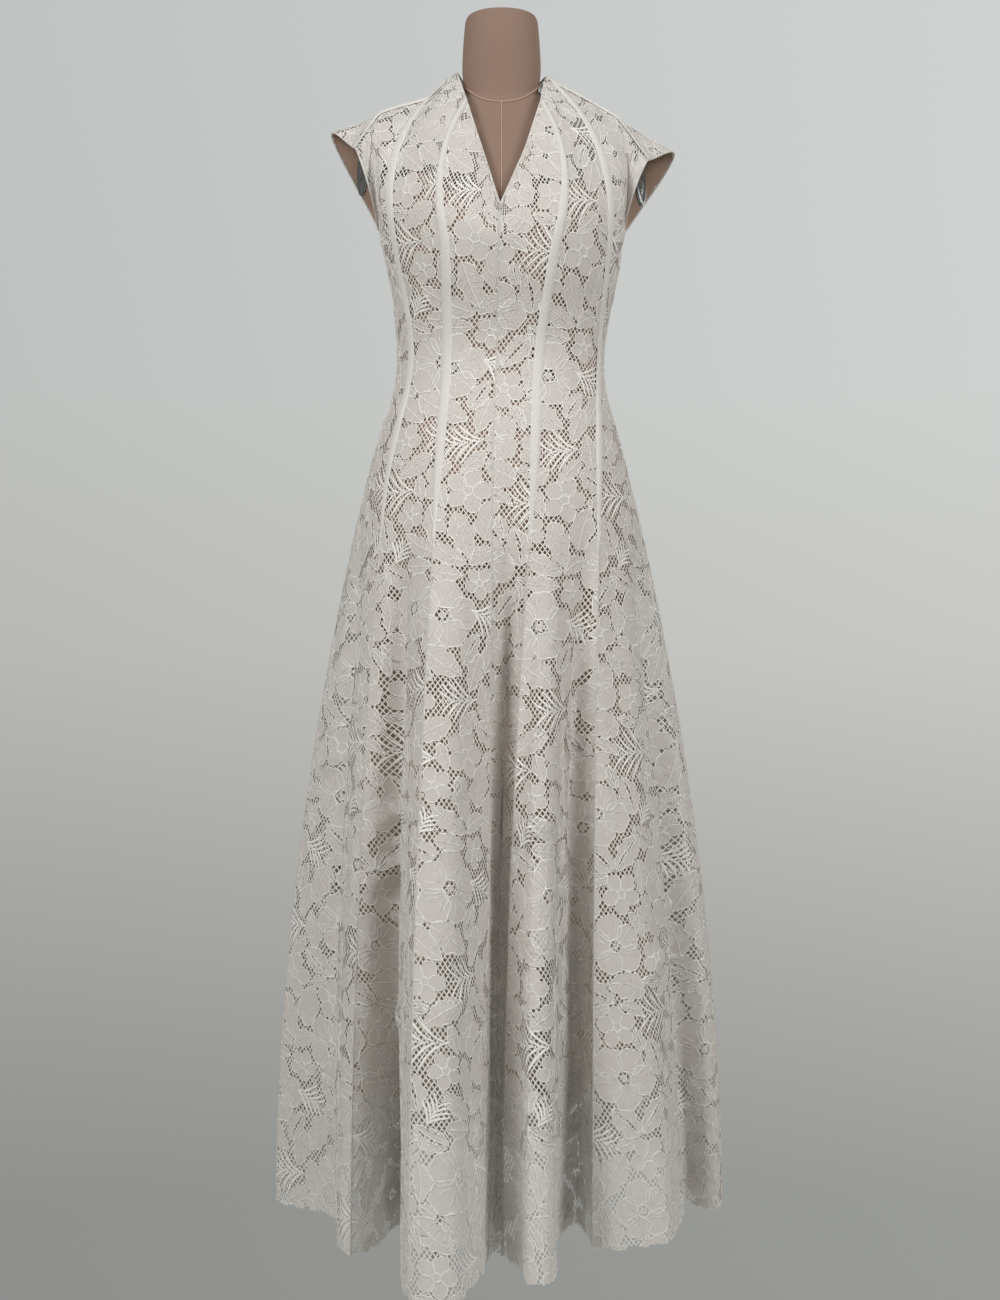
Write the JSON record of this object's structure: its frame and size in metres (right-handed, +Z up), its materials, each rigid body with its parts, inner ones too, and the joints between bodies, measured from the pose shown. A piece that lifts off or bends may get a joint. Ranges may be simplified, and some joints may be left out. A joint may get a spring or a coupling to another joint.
{
  "type": "lace maxi dress on a dress form",
  "caption": "Sleeveless floral lace maxi dress with a deep V neck and a gored A-line skirt, worn on a limbless dress form with a round base.",
  "frame": {"origin": "middle of the underside of the round base, on the floor", "axes": "+Z up along the dress, +Y towards its back, +X towards the viewer's right when facing its front"},
  "size_m": [0.5815, 0.5679, 1.792],
  "materials": {
    "lace": "white corded floral lace on net",
    "tape": "white woven tape",
    "lining": "thin nude lining",
    "form_cloth": "brown-pink cover cloth",
    "plate_metal": "dull grey metal",
    "stand_metal": "pale satin paint",
    "zip_metal": "white enamel"
  },
  "bodies": {
    "dress_and_form": {"front_centre_left": "lace", "front_centre_right": "lace", "front_mid_left": "lace", "front_mid_right": "lace", "front_side_left": "lace", "front_side_right": "lace", "back_centre_left": "lace", "back_centre_right": "lace", "back_mid_left": "lace", "back_mid_right": "lace", "back_side_left": "lace", "back_side_right": "lace", "tape_front_inner_left": "tape", "tape_front_inner_right": "tape", "tape_front_outer_left": "tape", "tape_front_outer_right": "tape", "tape_back_inner_left": "tape", "tape_back_inner_right": "tape", "tape_back_outer_left": "tape", "tape_back_outer_right": "tape", "tape_shoulder_left": "tape", "tape_shoulder_right": "tape", "neck_binding_left": "tape", "neck_binding_right": "tape", "armhole_binding_left": "tape", "armhole_binding_right": "tape", "lining_front": "lining", "lining_back": "lining", "form_torso": "form_cloth", "form_neck": "form_cloth", "form_arm_plate_left": "plate_metal", "form_arm_plate_right": "plate_metal", "form_collar": "stand_metal", "form_pole": "stand_metal", "form_hub": "stand_metal", "form_base": "stand_metal", "zip_slider": "zip_metal"},
    "zip_pull_tab": {"zip_pull": "zip_metal"}
  },
  "joints": [
    {"name": "zip_pull_hinge", "type": "hinge", "parent": "dress_and_form", "child": "zip_pull_tab", "pos_m": [0, 0.07413, 1.69735], "axis": [1, 0, 0], "range_deg": [0, 150]}
  ]
}
